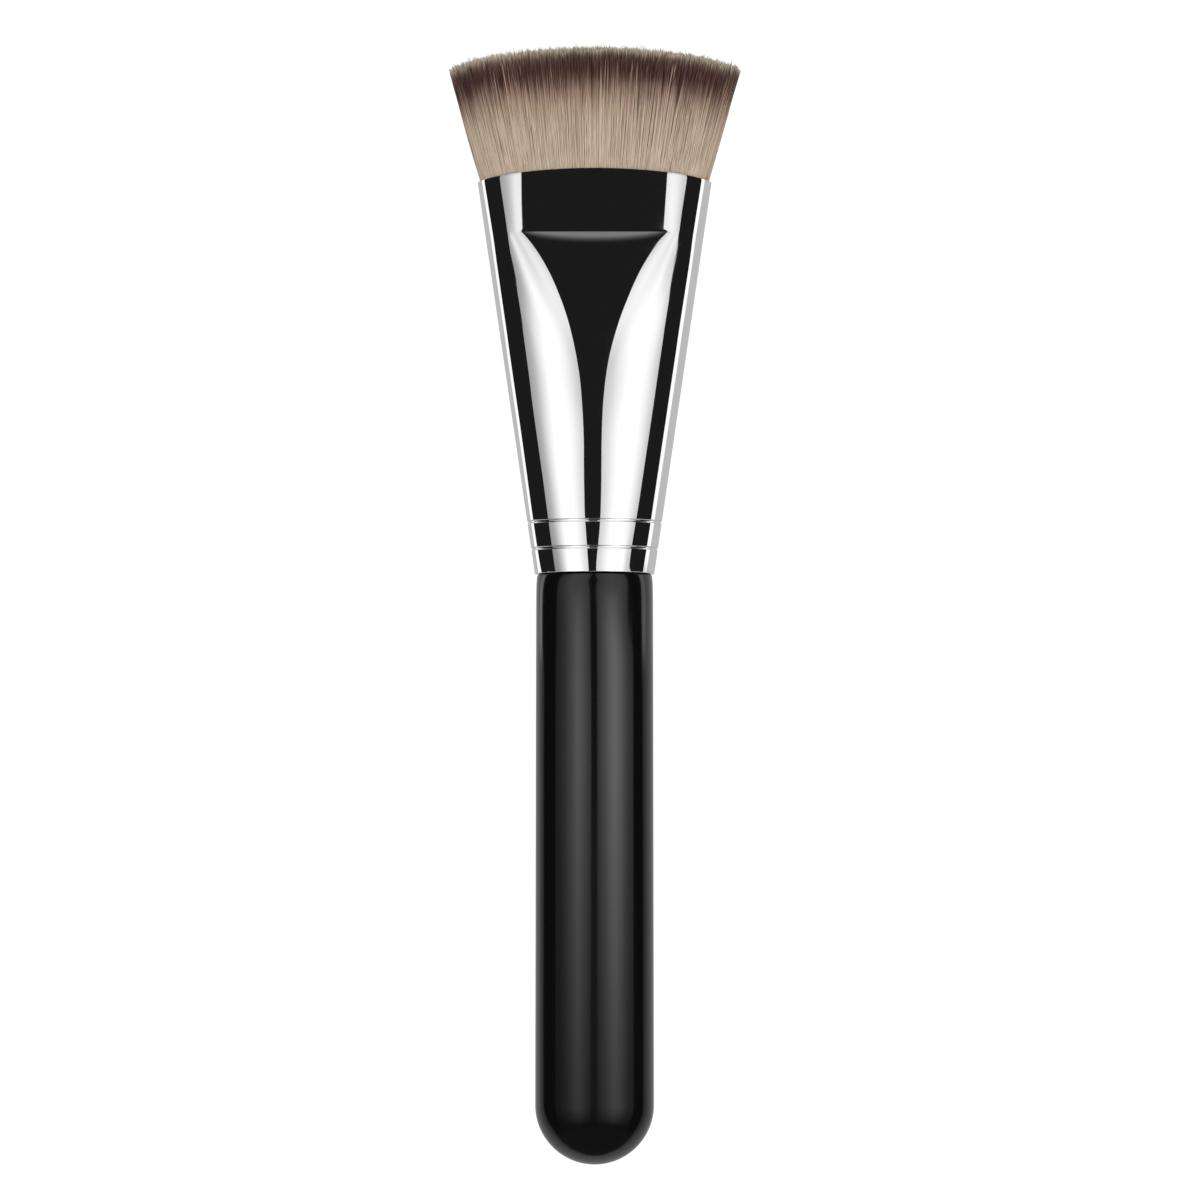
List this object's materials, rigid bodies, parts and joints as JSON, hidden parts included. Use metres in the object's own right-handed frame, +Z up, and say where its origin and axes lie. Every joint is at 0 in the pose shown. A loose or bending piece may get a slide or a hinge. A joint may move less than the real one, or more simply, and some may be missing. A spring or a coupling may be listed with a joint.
{
  "type": "face blending brush",
  "caption": "Flat-top face blending brush: domed black lacquered handle, chrome ferrule pressed from round to a flat-sided oval, and a dense fanned tuft of cream and brown fibres.",
  "frame": {"origin": "on the surface that the brush lies on, below the middle of its overall length and width", "axes": "+Y along the brush from the handle's domed end to the fibre tips, +X across the width of the ferrule's mouth, +Z up, out of the pressed front flat"},
  "size_m": [0.0432, 0.165, 0.0177],
  "materials": {
    "black_lacquer": "turned hardwood under several coats of high-gloss black lacquer",
    "chrome_plate": "mirror-polished plating on a thin drawn tube",
    "tenon_adhesive": "cured cream adhesive, slightly rough",
    "root_resin": "cured amber resin, glossy",
    "tipped_fibre": "fine soft-tapered synthetic fibres, cream with a dark brown band under pale tips"
  },
  "bodies": {
    "root": {"handle": "black_lacquer", "ferrule": "chrome_plate", "tenon_glue": "tenon_adhesive", "root_set": "root_resin", "bristle_tuft": "tipped_fibre"}
  },
  "joints": []
}
